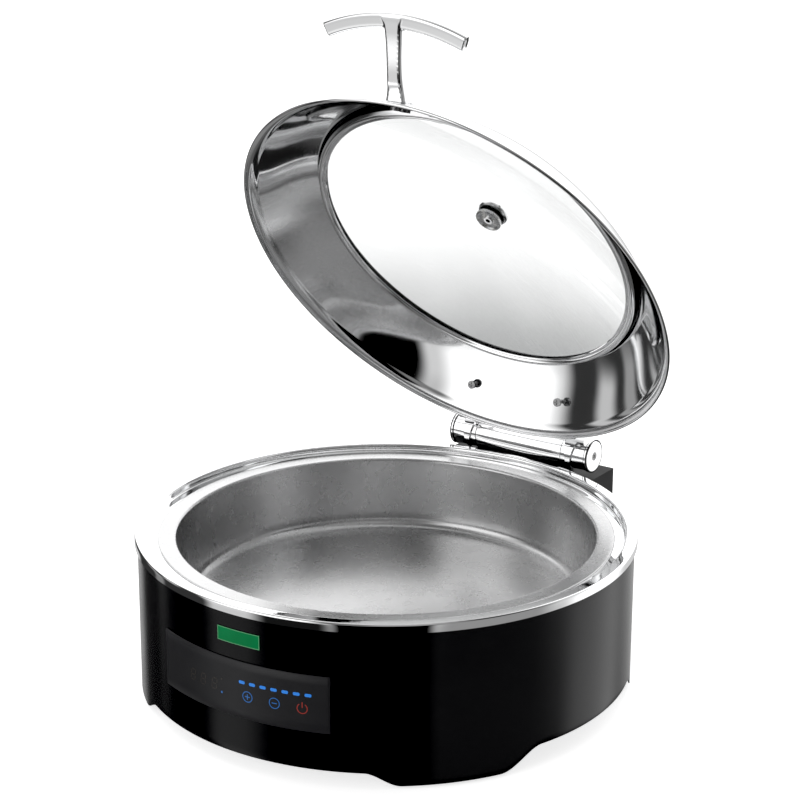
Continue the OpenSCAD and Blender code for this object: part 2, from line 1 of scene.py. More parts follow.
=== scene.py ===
"""Looks for the round electric buffet server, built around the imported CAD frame.

Metres, same frame as the CAD: +Z up, panel toward -Y, hinge on +Y.
Sizes below are in millimetres, as in part.scad, and scaled by MM when a mesh is made.
"""

import json
import math

import bmesh
import bpy
from mathutils import Matrix, Vector


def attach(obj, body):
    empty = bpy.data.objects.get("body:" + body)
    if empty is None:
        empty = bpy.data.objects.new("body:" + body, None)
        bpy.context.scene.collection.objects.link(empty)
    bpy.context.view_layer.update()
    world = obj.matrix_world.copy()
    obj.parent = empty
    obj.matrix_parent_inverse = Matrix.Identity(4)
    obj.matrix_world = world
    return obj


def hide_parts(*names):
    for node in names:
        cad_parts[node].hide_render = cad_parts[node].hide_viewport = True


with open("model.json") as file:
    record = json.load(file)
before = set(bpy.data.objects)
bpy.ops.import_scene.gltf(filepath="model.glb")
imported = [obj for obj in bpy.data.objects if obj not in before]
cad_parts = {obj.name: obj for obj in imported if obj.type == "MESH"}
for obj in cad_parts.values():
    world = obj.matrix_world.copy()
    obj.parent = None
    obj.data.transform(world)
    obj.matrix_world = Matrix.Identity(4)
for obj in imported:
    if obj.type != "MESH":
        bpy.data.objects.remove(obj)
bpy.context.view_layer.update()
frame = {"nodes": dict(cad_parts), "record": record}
NODES = frame["nodes"]
MM = 0.001

# ---------------------------------------------------------------- sizes from part.scad, mm
# Rim ring: outer radius (a hair under the CAD's), top, height of its band, sheet
RING_R, RING_Z, BAND_H, RING_T = 214.93, 142.0, 7.5, 1.2
# Body wall: outer radius and sheet; heights of its lower edge at the front and side arches and the lobes
SKIRT_R, SKIRT_T = 212.5, 1.2
ARCH_FRONT_Z, ARCH_SIDE_Z, LOBE_Z = 13.0, 19.0, 2.0
# Food pan: flange radius, mouth radius, depth, sheet
PAN_FLANGE_R, PAN_OPEN_R, PAN_DEPTH, PAN_T = 195.0, 179.4, 64.0, 0.8
FLANGE_Z = RING_Z - 5.6
FLOOR_Z = FLANGE_Z - PAN_DEPTH
# Lid: rim radius, sheet, height and radius of the window lip
LID_R, LID_T, LIP_H, LIP_R = 206.5, 0.8, 51.0, 149.0
# Glass: height of its top above the rim, thickness, radius of its dome, height of the dome's centre
GLASS_TOP, GLASS_T, GLASS_S = 81.0, 4.0, 370.0
GLASS_C = GLASS_TOP - GLASS_S
# Hinge: axis, tube radius, half length of the barrel, outer face of the end caps
HINGE_Y, HINGE_Z = 228.0, 151.0
TUBE_R, BARREL_HALF, CAP_X = 14.5, 46.0, 74.0
# Plane of the closed lid's rim, and how far the lid is open at rest
RIM_Z = RING_Z + 0.5
OPEN = math.radians(56.8)
# Touch panel: half angle in degrees, bottom, top, outer radius
PANEL_HALF, PANEL_Z0, PANEL_Z1, PANEL_R = 22.8, 46.0, 95.0, 213.7
# Azimuths of the marks on the panel, in degrees from the front toward +X
LAMP_AZ, LAMP_STEP, LAMPS = 2.3, 2.62, 7
PLUS_AZ, MINUS_AZ, POWER_AZ = 3.7, 10.3, 16.7
FIGURE_AZ, DOT_AZ = (-12.0, -8.7, -5.3), -3.2
# Badge: azimuth and width in degrees, bottom, top
BADGE_AZ, BADGE_WIDE, BADGE_Z0, BADGE_Z1 = 1.3, 11.0, 108.7, 120.8
# Handle: centre of its bar as (y, height above the rim) of the closed lid, and the way its stem points
BAR_C, BAR_DIR = (-244.9, 56.7), 157.0

# ---------------------------------------------------------------- camera
# Turn about Z, downward pitch and roll in degrees; the rim's centre in the camera's own axes; lens
CAM_AZ, CAM_PITCH, CAM_ROLL = 34.258, 18.294, 0.204
CAM_T = (-11.74, 105.66, 1983.0)
CAM_LENS = 104.097


def make_camera():
    """Camera that sees the rim's centre at CAM_T, in mm along its right, down and forward axes."""
    p, q, a = (math.radians(v) for v in (CAM_PITCH, CAM_ROLL, CAM_AZ))
    right = Vector((1, 0, 0))
    fwd = Vector((0, math.cos(p), -math.sin(p)))
    down = fwd.cross(right)
    r = right * math.cos(q) - down * math.sin(q)
    d = right * math.sin(q) + down * math.cos(q)
    t = Vector(CAM_T)
    centre = -(r * t.x + d * t.y + fwd * t.z)
    turn = Matrix.Rotation(a, 3, "Z")
    r, d, f, centre = (turn @ v for v in (r, d, fwd, centre))
    centre.z += RING_Z
    cam = bpy.data.objects.new("camera", bpy.data.cameras.new("camera"))
    bpy.context.scene.collection.objects.link(cam)
    m = Matrix((r, -d, -f)).transposed().to_4x4()
    m.translation = centre * MM
    cam.matrix_world = m
    cam.data.lens = CAM_LENS
    cam.data.sensor_width = 36.0
    cam.data.clip_start, cam.data.clip_end = 0.05, 50
    bpy.context.scene.camera = cam


make_camera()

# ---------------------------------------------------------------- mesh helpers
# From the closed lid to the open one, and from the lid's own axes, with z = 0 at its rim
LID_POSE = (Matrix.Translation((0, HINGE_Y, HINGE_Z)) @ Matrix.Rotation(-OPEN, 4, "X")
            @ Matrix.Translation((0, -HINGE_Y, -HINGE_Z)))
LID_LOCAL = LID_POSE @ Matrix.Translation((0, 0, RIM_Z))


def arc(c, r, a0, a1, n=8):
    """Points of an arc round c, angles in degrees."""
    return [(c[0] + r * math.cos(math.radians(a0 + (a1 - a0) * i / n)),
             c[1] + r * math.sin(math.radians(a0 + (a1 - a0) * i / n))) for i in range(n + 1)]


def sheet(path, t):
    """Closed outline of a sheet whose one face is path; the other lies t to its left."""
    out = []
    for i, p in enumerate(path):
        a, b = path[max(i - 1, 0)], path[min(i + 1, len(path) - 1)]
        dx, dy = b[0] - a[0], b[1] - a[1]
        n = math.hypot(dx, dy) or 1.0
        out.append((p[0] - dy / n * t, p[1] + dx / n * t))
    return list(path) + out[::-1]


def piece(name, bm, matrix, body, material, replaces=(), sharp=35.0):
    """Turns a bmesh in millimetres into a finished piece riding on a CAD body."""
    bmesh.ops.remove_doubles(bm, verts=bm.verts, dist=1e-4)
    bmesh.ops.recalc_face_normals(bm, faces=bm.faces)
    for f in bm.faces:
        f.smooth = True
    for e in bm.edges:
        if len(e.link_faces) == 2 and e.calc_face_angle(0) > math.radians(sharp):
            e.smooth = False
    me = bpy.data.meshes.new(name)
    bm.to_mesh(me)
    bm.free()
    me.transform(Matrix.Scale(MM, 4) @ (matrix or Matrix.Identity(4)))
    ob = bpy.data.objects.new(name, me)
    bpy.context.scene.collection.objects.link(ob)
    me.materials.append(material)
    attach(ob, body)
    if replaces:
        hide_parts(*replaces)


def lathe_bm(outline, segs=256):
    """Revolves a closed outline of (radius, z) points about Z."""
    bm = bmesh.new()
    rings = []
    for r, z in outline:
        if r < 1e-6:
            rings.append([bm.verts.new((0, 0, z))] * segs)
            continue
        rings.append([bm.verts.new((r * math.cos(2 * math.pi * i / segs),
                                    r * math.sin(2 * math.pi * i / segs), z)) for i in range(segs)])
    for a, b in zip(rings, rings[1:] + rings[:1]):
        for i in range(segs):
            j = (i + 1) % segs
            corners = list(dict.fromkeys((a[i], a[j], b[j], b[i])))
            if len(corners) > 2:
                bm.faces.new(corners)
    return bm


def loft_bm(rings):
    """Joins rings of equal point counts into a closed skin."""
    bm = bmesh.new()
    vs = [[bm.verts.new(p) for p in ring] for ring in rings]
    for a, b in zip(vs, vs[1:]):
        n = len(a)
        for i in range(n):
            bm.faces.new((a[i], a[(i + 1) % n], b[(i + 1) % n], b[i]))
    bm.faces.new(vs[0][::-1])
    bm.faces.new(vs[-1])
    return bm


def rounded_ring(w, h, r, n=6):
    """Rounded rectangle w by h as points, counter-clockwise."""
    r = min(r, w / 2 - 1e-3, h / 2 - 1e-3)
    pts = []
    for cx, cy, a in ((1, 1, 0), (-1, 1, 90), (-1, -1, 180), (1, -1, 270)):
        pts += arc((cx * (w / 2 - r), cy * (h / 2 - r)), r, a, a + 90, n)
    return pts


# ---------------------------------------------------------------- materials
# Height in metres of the slow swell of polished sheet
WAVE_DIST = 0.002
# Object heights in metres between which the window's painted shade fades out, the glass colour at the low end
# (darkened: painted shade) and at the high end, and the noise that makes the shade's edge uneven
GLASS_SHADE_Z0, GLASS_SHADE_Z1, GLASS_SHADE_NOISE = 0.25, 0.40, 0.05
GLASS_SHADE_LOW, GLASS_SHADE_HIGH = (0.3, 0.305, 0.305), (0.8, 0.805, 0.805)


def node(nt, kind, **inputs):
    """A new node with its named inputs set."""
    n = nt.nodes.new(kind)
    for k, v in inputs.items():
        n.inputs[k].default_value = v
    return n


def link(nt, a, b):
    nt.links.new(a, b)


def ramp_value(nt, source, lo, hi, from_lo=0.3, from_hi=0.7):
    """Maps source from its own range to lo..hi."""
    m = nt.nodes.new("ShaderNodeMapRange")
    m.inputs["From Min"].default_value = from_lo
    m.inputs["From Max"].default_value = from_hi
    m.inputs["To Min"].default_value = lo
    m.inputs["To Max"].default_value = hi
    link(nt, source, m.inputs["Value"])
    return m.outputs["Result"]


def colour_mix(nt, low, high, factor):
    """Colour between low and high by a factor socket."""
    mix = nt.nodes.new("ShaderNodeMix")
    mix.data_type = "RGBA"
    mix.inputs[6].default_value = (*low, 1)
    mix.inputs[7].default_value = (*high, 1)
    link(nt, factor, mix.inputs[0])
    return mix.outputs[2]


def noise(nt, coord, scale, detail=4.0, rough=0.55, stretch=None):
    """Noise at a scale per metre, drawn out along an axis where stretch is given."""
    if stretch:
        mp = nt.nodes.new("ShaderNodeMapping")
        mp.inputs["Scale"].default_value = stretch
        link(nt, coord, mp.inputs["Vector"])
        coord = mp.outputs["Vector"]
    n = node(nt, "ShaderNodeTexNoise", Scale=scale, Detail=detail, Roughness=rough)
    link(nt, coord, n.inputs["Vector"])
    return n.outputs["Fac"]


def finish(name, color, color2, metallic=0.0, rough=(0.2, 0.3), tint_scale=8.0, rough_scale=40.0,
           bump=0.1, bump_scale=300.0, bump_dist=0.0002, stretch=None, spec=0.5, transmission=0.0,
           ior=1.5, emission=None, emission_strength=0.0, wave=0.0, wave_scale=14.0):
    """A Principled finish whose colour, roughness and bump all vary over the surface."""
    m = bpy.data.materials.new(name)
    m.use_nodes = True
    nt = m.node_tree
    nt.nodes.clear()
    out = nt.nodes.new("ShaderNodeOutputMaterial")
    b = nt.nodes.new("ShaderNodeBsdfPrincipled")
    link(nt, b.outputs[0], out.inputs[0])
    obj = nt.nodes.new("ShaderNodeTexCoord").outputs["Object"]
    patches = ramp_value(nt, noise(nt, obj, tint_scale, 5.0), 0.0, 1.0, 0.35, 0.65)
    link(nt, colour_mix(nt, color, color2, patches), b.inputs["Base Color"])
    b.inputs["Metallic"].default_value = metallic
    link(nt, ramp_value(nt, noise(nt, obj, rough_scale, 6.0, 0.6, stretch), rough[0], rough[1]),
         b.inputs["Roughness"])
    grain = node(nt, "ShaderNodeBump", Strength=bump, Distance=bump_dist)
    link(nt, noise(nt, obj, bump_scale, 5.0, 0.6, stretch), grain.inputs["Height"])
    normal = grain.outputs[0]
    if wave:
        swell = node(nt, "ShaderNodeBump", Strength=wave, Distance=WAVE_DIST)
        link(nt, noise(nt, obj, wave_scale, 1.0, 0.3), swell.inputs["Height"])
        link(nt, normal, swell.inputs["Normal"])
        normal = swell.outputs[0]
    link(nt, normal, b.inputs["Normal"])
    b.inputs["Specular IOR Level"].default_value = spec
    b.inputs["IOR"].default_value = ior
    b.inputs["Transmission Weight"].default_value = transmission
    if emission:
        b.inputs["Emission Color"].default_value = (*emission, 1)
        b.inputs["Emission Strength"].default_value = emission_strength
    return m


def paint_glass_shade(m):
    """Paints shade into the glass: darker toward the hinge, at the pane's low end at rest, with faint noise
    that makes the edge of the painted shade uneven.
    """
    nt = m.node_tree
    b = next(n for n in nt.nodes if n.type == "BSDF_PRINCIPLED")
    tc = next(n for n in nt.nodes if n.type == "TEX_COORD")
    s = nt.nodes.new("ShaderNodeSeparateXYZ")
    link(nt, tc.outputs["Object"], s.inputs[0])
    add = nt.nodes.new("ShaderNodeMath")
    add.operation = "MULTIPLY_ADD"
    link(nt, noise(nt, tc.outputs["Object"], 7.0, 2.0), add.inputs[0])
    add.inputs[1].default_value = GLASS_SHADE_NOISE
    link(nt, s.outputs["Z"], add.inputs[2])
    rise = nt.nodes.new("ShaderNodeMapRange")
    rise.interpolation_type = "SMOOTHSTEP"
    rise.inputs["From Min"].default_value = GLASS_SHADE_Z0
    rise.inputs["From Max"].default_value = GLASS_SHADE_Z1
    link(nt, add.outputs[0], rise.inputs["Value"])
    # Painted shade: the glass colour runs from dark at the low end to lighter at the high end.
    link(nt, colour_mix(nt, GLASS_SHADE_LOW, GLASS_SHADE_HIGH, rise.outputs["Result"]), b.inputs["Base Color"])


M_ENAMEL = finish("enamel_black", (0.0035, 0.0035, 0.004), (0.006, 0.006, 0.0065), rough=(0.13, 0.2),
                  rough_scale=18, bump=0.01, bump_scale=420, bump_dist=0.0002, spec=0.27)
M_CHROME = finish("steel_mirror", (0.9, 0.905, 0.91), (0.94, 0.94, 0.945), metallic=1.0, rough=(0.025, 0.06),
                  rough_scale=30, bump=0.012, bump_scale=900, bump_dist=0.0001, wave=0.02, wave_scale=16)
M_LID = finish("steel_lid", (0.88, 0.885, 0.89), (0.93, 0.93, 0.935), metallic=1.0, rough=(0.04, 0.085),
               rough_scale=26, bump=0.02, bump_scale=700, bump_dist=0.0001, wave=0.03, wave_scale=9)
M_PAN = finish("steel_satin", (0.62, 0.62, 0.625), (0.65, 0.65, 0.652), metallic=1.0, rough=(0.25, 0.29),
               rough_scale=60, bump=0.008, bump_scale=700, bump_dist=0.0001)
M_WELL = finish("steel_well", (0.5, 0.5, 0.51), (0.56, 0.56, 0.56), metallic=1.0, rough=(0.28, 0.4),
                rough_scale=90, bump=0.1, bump_scale=900)
M_DARK = finish("powder_black", (0.02, 0.02, 0.022), (0.03, 0.03, 0.032), rough=(0.5, 0.65), bump=0.25,
                bump_scale=1500, spec=0.4)
M_ZINC = finish("zinc_plate", (0.62, 0.63, 0.65), (0.72, 0.71, 0.68), metallic=1.0, rough=(0.18, 0.34),
                tint_scale=160, rough_scale=300, bump=0.12, bump_scale=1200)
M_RUBBER = finish("rubber_black", (0.018, 0.018, 0.018), (0.03, 0.03, 0.03), rough=(0.6, 0.8), bump=0.3,
                  bump_scale=900, spec=0.35)
M_PANEL = finish("panel_smoked", (0.0165, 0.0165, 0.018), (0.0185, 0.0182, 0.02), rough=(0.32, 0.42),
                 rough_scale=60, bump=0.05, bump_scale=1300, spec=0.35)
M_BLACKP = finish("plastic_black", (0.018, 0.018, 0.019), (0.026, 0.026, 0.027), rough=(0.35, 0.5), bump=0.2,
                  bump_scale=1100)
M_CLEARP = finish("guide_blue", (0.25, 0.5, 0.9), (0.35, 0.6, 1.0), rough=(0.15, 0.25), transmission=0.5)
M_BOARD = finish("board_green", (0.01, 0.09, 0.03), (0.015, 0.13, 0.045), rough=(0.3, 0.45), tint_scale=220,
                 bump=0.2, bump_scale=500)
M_GREEN = finish("badge_green", (0.0, 0.16, 0.045), (0.0, 0.185, 0.055), spec=0.15, rough=(0.28, 0.36),
                 tint_scale=60, bump=0.05, bump_scale=1200)
M_GREENEDGE = finish("badge_border", (0.1, 0.36, 0.16), (0.13, 0.42, 0.2), rough=(0.28, 0.36), bump=0.05,
                     bump_scale=1200)
M_WHITEP = finish("nylon_white", (0.72, 0.72, 0.69), (0.8, 0.8, 0.77), rough=(0.4, 0.5), bump=0.1)
M_CORE = finish("core_lacquer", (0.16, 0.13, 0.06), (0.24, 0.2, 0.1), metallic=0.4, rough=(0.35, 0.5),
                stretch=(1, 1, 60), bump=0.4, bump_scale=40)
M_CAST = finish("aluminium_cast", (0.55, 0.55, 0.56), (0.66, 0.66, 0.66), metallic=1.0, rough=(0.4, 0.55),
                bump=0.4, bump_scale=500)
M_SHEATH = finish("sheath_tinted", (0.16, 0.12, 0.09), (0.24, 0.2, 0.18), metallic=1.0, rough=(0.4, 0.55),
                  tint_scale=30, bump=0.1)
M_FIBRE = finish("fibre_board", (0.72, 0.68, 0.58), (0.82, 0.79, 0.7), rough=(0.8, 0.95), bump=0.6,
                 bump_scale=450)
M_CERAMIC = finish("steatite", (0.75, 0.72, 0.64), (0.82, 0.8, 0.73), rough=(0.2, 0.3), bump=0.08)
M_RED = finish("silicone_lead", (0.42, 0.02, 0.015), (0.5, 0.035, 0.025), rough=(0.4, 0.5), bump=0.1)
M_GLASS = finish("glass_window", (0.95, 0.955, 0.955), (0.97, 0.975, 0.975), rough=(0.0, 0.02), rough_scale=6,
                 bump=0.004, bump_scale=60, transmission=1.0, ior=1.45)
# The window glass gets painted shade, darker toward its low end.
paint_glass_shade(M_GLASS)
M_BLUE = finish("lamp_blue", (0.01, 0.09, 0.35), (0.02, 0.12, 0.45), rough=(0.3, 0.4),
                emission=(0.012, 0.19, 0.6), emission_strength=0.55)
M_BLUEDIM = finish("mark_blue", (0.01, 0.05, 0.16), (0.015, 0.06, 0.2), rough=(0.3, 0.4),
                   emission=(0.02, 0.14, 0.42), emission_strength=0.55)
M_REDDIM = finish("mark_red", (0.12, 0.015, 0.012), (0.15, 0.02, 0.015), rough=(0.3, 0.4),
                  emission=(0.4, 0.035, 0.025), emission_strength=0.4)
M_DIGIT = finish("digit_unlit", (0.034, 0.03, 0.026), (0.04, 0.035, 0.03), rough=(0.35, 0.45))
M_SATIN = finish("enamel_satin", (0.005, 0.005, 0.0055), (0.008, 0.008, 0.0085), rough=(0.42, 0.5),
                 rough_scale=30, bump=0.05, bump_scale=900, spec=0.16)
M_DARKZINC = finish("screw_steel", (0.2, 0.2, 0.205), (0.3, 0.3, 0.3), metallic=1.0, rough=(0.2, 0.32),
                    tint_scale=160, bump=0.1, bump_scale=1200)
# Black for the thin rings on the hinge caps: painted shade standing in for the dark grooves there.
M_GROOVE_SHADE = finish("seam_shadow", (0.004, 0.004, 0.004), (0.007, 0.007, 0.007), rough=(0.6, 0.7), spec=0.1)

SLOT_MATERIAL = {
    "black_enamel": M_ENAMEL, "polished_steel": M_CHROME, "satin_steel": M_WELL, "dark_steel": M_DARK,
    "zinc_steel": M_ZINC, "black_rubber": M_RUBBER, "panel_glass": M_PANEL, "black_plastic": M_BLACKP,
    "clear_plastic": M_CLEARP, "board_green": M_BOARD, "green_label": M_GREEN, "white_plastic": M_WHITEP,
    "lacquered_core": M_CORE, "cast_aluminium": M_CAST, "element_sheath": M_SHEATH,
    "ceramic_fibre": M_FIBRE, "ceramic_white": M_CERAMIC, "red_insulation": M_RED, "window_glass": M_GLASS,
}
for row in frame["record"]["subparts"]:
    mesh = NODES[row["node"]].data
    mesh.materials.clear()
    mesh.materials.append(SLOT_MATERIAL[row["material_slot"]])
for name, mat in (("hinge_housing", M_SATIN), ("hinge_bracket", M_SATIN), ("lid_hinge_screws", M_DARKZINC),
                  ("handle_screws", M_DARKZINC), ("cap_screws", M_DARKZINC)):
    NODES[name].data.materials[0] = mat


# ---------------------------------------------------------------- base: body, ring, pan
def ease(k):
    """Smooth step from 0 to 1."""
    k = max(0.0, min(1.0, k))
    return k * k * (3 - 2 * k)


def arch(across, along, height, flat, rise):
    """Lower edge beside an arch that is level out to flat and comes down to the lobes over rise."""
    if across <= 100 or along >= flat + rise:
        return LOBE_Z
    return height + (LOBE_Z - height) * ease((along - flat) / rise)


def lower_edge(x, y):
    """Height of the body's lower edge at a point of its wall."""
    x, y = abs(x), abs(y)
    return max(arch(x, y, ARCH_SIDE_Z, 70, 36), arch(y, x, ARCH_FRONT_Z, 106, 25))


def build_skirt():
    """Body wall: rolled lower edge that follows the foot lobes, and the top turned in."""
    segs, bead, bend, lip_r, lip_t = 720, SKIRT_T / 2, 1.4, 206, 1.2
    top = RING_Z - RING_T - 0.1
    rings = []
    for i in range(segs):
        a = 2 * math.pi * i / segs
        c, s = math.cos(a), math.sin(a)
        low = lower_edge(SKIRT_R * c, SKIRT_R * s) + bead
        prof = arc((SKIRT_R - bead, low), bead, 180, 360, 6)
        prof += [(SKIRT_R, low + (top - bend - low) * k) for k in (0.04, 0.12, 0.25, 0.45, 0.7, 0.9, 1.0)]
        prof += arc((SKIRT_R - bend, top - bend), bend, 20, 90, 4)
        prof += [(lip_r, top), (lip_r, top - lip_t)]
        prof += [(SKIRT_R - SKIRT_T, top - lip_t - (top - lip_t - low) * k) for k in (0, 0.3, 0.6)]
        rings.append([(r * c, r * s, z) for r, z in prof])
    bm = bmesh.new()
    columns = [[bm.verts.new(p) for p in ring] for ring in rings]
    for i in range(segs):
        a, b = columns[i], columns[(i + 1) % segs]
        for j in range(len(a)):
            k = (j + 1) % len(a)
            bm.faces.new((a[j], b[j], b[k], a[k]))
    piece("body_shell", bm, None, "base", M_ENAMEL, ["outer_skirt"])


def build_ring():
    """Rim ring: outer band, bead, flat flange, channel and the ledge that the pan rests on."""
    o, z, bead, flange_r, channel_r, bend = RING_R, RING_Z, 2, 208.3, 204.3, 1.5
    p = [(o, z - BAND_H), (o, z - BAND_H + 2), (o, z - 4)]
    p += arc((o - bead, z - bead), bead, 0, 90, 10)
    p += [(o - 4, z), (flange_r, z)]
    p += arc((flange_r - bead, z - bead), bead, 90, 180, 10)
    p += [(channel_r, z - 4.2)]
    p += arc((channel_r - bend, z - 5.5), bend, 0, -90, 8)
    p += [(r, z - 7) for r in (199, 192, 188)]
    piece("rim_ring_band", lathe_bm(sheet(p, RING_T), 360), None, "base", M_CHROME,
          ["rim_ring"], sharp=50)


def build_pan():
    """Food pan: turned-down flange edge, rolled mouth, sloping wall, rounded corner and flat floor."""
    o, z, mouth, corner, draft = PAN_OPEN_R, FLANGE_Z, 2.5, 9, 6
    floor_r = o - 16
    p = [(PAN_FLANGE_R + 0.4, RING_Z - 6.95)]
    p += arc((PAN_FLANGE_R - 0.6, z - 1), 1, 0, 90, 6)
    p += [(PAN_FLANGE_R - 4, z), (o + 6, z)]
    p += arc((o + mouth, z - mouth), mouth, 90, 180, 10)
    x0, z0 = o, z - mouth
    x1 = floor_r + corner * math.cos(math.radians(draft))
    z1 = FLOOR_Z + corner + corner * math.sin(math.radians(draft))
    p += [(x0 + (x1 - x0) * k, z0 + (z1 - z0) * k) for k in (0.1, 0.3, 0.5, 0.7, 0.9)]
    p += arc((floor_r, FLOOR_Z + corner), corner, draft, -90, 16)
    p += [(floor_r * (1 - k), FLOOR_Z) for k in (0.05, 0.2, 0.4, 0.6, 0.8, 0.95, 1.0)]
    piece("pan_pressed", lathe_bm(sheet(p, PAN_T), 288), None, "base", M_PAN, ["food_pan"],
          sharp=50)


# ---------------------------------------------------------------- touch panel and badge
def wrap(u, v, r, az0=0.0):
    """Point of the round wall u mm round from azimuth az0 (from the front toward +X), at height v."""
    a = math.radians(az0) + u / r
    return (r * math.sin(a), -r * math.cos(a), v)


def wall_point(co):
    """Point at the height of co that lies just outside the body wall, behind co."""
    return Vector((co.x, co.y, 0)).normalized() * (SKIRT_R + 0.02) + Vector((0, 0, co.z))


def curved_tile_bm(grid_points, rim_of):
    """Curved face from a grid of points, with sides that run back to the body wall."""
    bm = bmesh.new()
    grid = [[bm.verts.new(p) for p in row] for row in grid_points]
    for a, b in zip(grid, grid[1:]):
        for i in range(len(a) - 1):
            bm.faces.new((a[i], a[i + 1], b[i + 1], b[i]))
    rim = rim_of(grid)
    back = [bm.verts.new(wall_point(v.co)) for v in rim]
    for i in range(len(rim)):
        j = (i + 1) % len(rim)
        bm.faces.new((rim[i], back[i], back[j], rim[j]))
    return bm


def plate_bm(outline, r, depth, az0=0.0, bm=None):
    """Flat outline in (u, v) laid on the round wall, depth thick, outer face at r."""
    bm = bm or bmesh.new()
    outer = [bm.verts.new(wrap(u, v, r, az0)) for u, v in outline]
    inner = [bm.verts.new(wrap(u, v, r - depth, az0)) for u, v in outline]
    n = len(outer)
    for i in range(n):
        bm.faces.new((outer[i], inner[i], inner[(i + 1) % n], outer[(i + 1) % n]))
    bm.faces.new(outer)
    bm.faces.new(inner[::-1])
    return bm


def ring_plate_bm(v0, r0, r1, a0, a1, wall_r, depth, az0, n=40):
    """Arc band on the wall between radii r0 and r1 round height v0, closed where it runs full circle."""
    bm = bmesh.new()
    full = a1 - a0 == 360
    steps = n if full else n + 1
    rows = []
    for i in range(steps):
        a = math.radians(a0 + (a1 - a0) * i / n)
        rows.append([bm.verts.new(wrap(r * math.cos(a), v0 + r * math.sin(a), w, az0))
                     for r, w in ((r1, wall_r), (r1, wall_r - depth), (r0, wall_r - depth), (r0, wall_r))])
    for i in range(steps if full else n):
        a, b = rows[i], rows[(i + 1) % steps]
        for k in range(4):
            bm.faces.new((a[k], b[k], b[(k + 1) % 4], a[(k + 1) % 4]))
    if not full:
        bm.faces.new(rows[0][::-1])
        bm.faces.new(rows[-1])
    return bm


def build_panel():
    """Curved smoked panel whose edges are eased back."""
    half, ease_by, cols = math.radians(PANEL_HALF) * PANEL_R, 0.25, 72
    zs = [PANEL_Z0, PANEL_Z0 + ease_by, PANEL_Z0 + 8, PANEL_Z0 + 24]
    zs += [PANEL_Z1 - 8, PANEL_Z1 - ease_by, PANEL_Z1]
    us = [-half, -half + ease_by] + [-half + 2 * half * i / cols for i in range(1, cols)]
    us += [half - ease_by, half]
    points = [[wrap(u, z, PANEL_R - (ease_by if z in (zs[0], zs[-1]) or u in (us[0], us[-1]) else 0.0))
               for u in us] for z in zs]

    def rim_of(grid):
        return grid[0] + [r[-1] for r in grid[1:]] + grid[-1][-2::-1] + [r[0] for r in grid[-2:0:-1]]

    piece("touch_panel", curved_tile_bm(points, rim_of), None, "base", M_PANEL,
          ["control_panel"], sharp=60)


def build_lamps(r, t):
    for i in range(LAMPS):
        outline = [(u, 77.5 + v) for u, v in rounded_ring(5.6, 2.7, 1.1, 5)]
        bm = plate_bm(outline, r, t, LAMP_AZ + LAMP_STEP * i)
        piece(f"lamp_{i + 1}", bm, None, "base", M_BLUE)


def build_keys(r, t):
    """Ringed plus and minus marks, and the broken ring and stroke of a power mark."""
    key_z, power_z, line = 66, 65.6, 0.75
    for name, az in (("plus", PLUS_AZ), ("minus", MINUS_AZ)):
        bm = ring_plate_bm(key_z, 4.1, 4.75, 0, 360, r, t, az)
        plate_bm([(u, key_z + v) for u, v in rounded_ring(4.6, line, 0.3, 3)], r, t, az, bm)
        if name == "plus":
            for z, long in ((key_z, 1.9), (67.6, 1.6), (64.4, 1.6)):
                plate_bm([(u, z + v) for u, v in rounded_ring(line, long, 0.3, 3)], r + 0.01, t, az, bm)
        piece(f"key_{name}", bm, None, "base", M_BLUEDIM)
    bm = ring_plate_bm(power_z, 3.9, 4.6, 125, 415, r, t, POWER_AZ)
    plate_bm([(u, power_z + 3 + v) for u, v in rounded_ring(0.8, 5.0, 0.35, 3)], r, t, POWER_AZ, bm)
    piece("key_power", bm, None, "base", M_REDDIM)


def build_figures(r, t):
    """Three unlit seven-segment figures, leaning to the right, and two dots beside them."""
    high, wide, line, lean = 9.4, 5.0, 0.85, 0.12
    low = 69 - high / 2
    for k, az in enumerate(FIGURE_AZ):
        bm = bmesh.new()
        for cy in (0, high / 2, high):
            bar = rounded_ring(wide - 1.4, line, 0.3, 2)
            plate_bm([(u + lean * (cy - high / 2), low + cy + v) for u, v in bar], r, t, az, bm)
        for side in (-1, 1):
            for cy in (high * 0.25, high * 0.75):
                bar = rounded_ring(line, high / 2 - 1.3, 0.3, 2)
                plate_bm([(u + side * wide / 2 + lean * (cy - high / 2 + v), low + cy + v) for u, v in bar],
                         r, t, az, bm)
        piece(f"figure_{k + 1}", bm, None, "base", M_DIGIT)
    for name, z, mat in (("upper", 75.0, M_DIGIT), ("lower", 63.5, M_BLUEDIM)):
        bm = plate_bm([(u, z + v) for u, v in rounded_ring(1.5, 1.9, 0.6, 4)], r, t, DOT_AZ)
        piece(f"dot_{name}", bm, None, "base", mat)


def build_marks():
    """Thin marks that stand a little proud of the panel."""
    r, t = PANEL_R + 0.12, 0.14
    build_lamps(r, t)
    build_keys(r, t)
    build_figures(r, t)


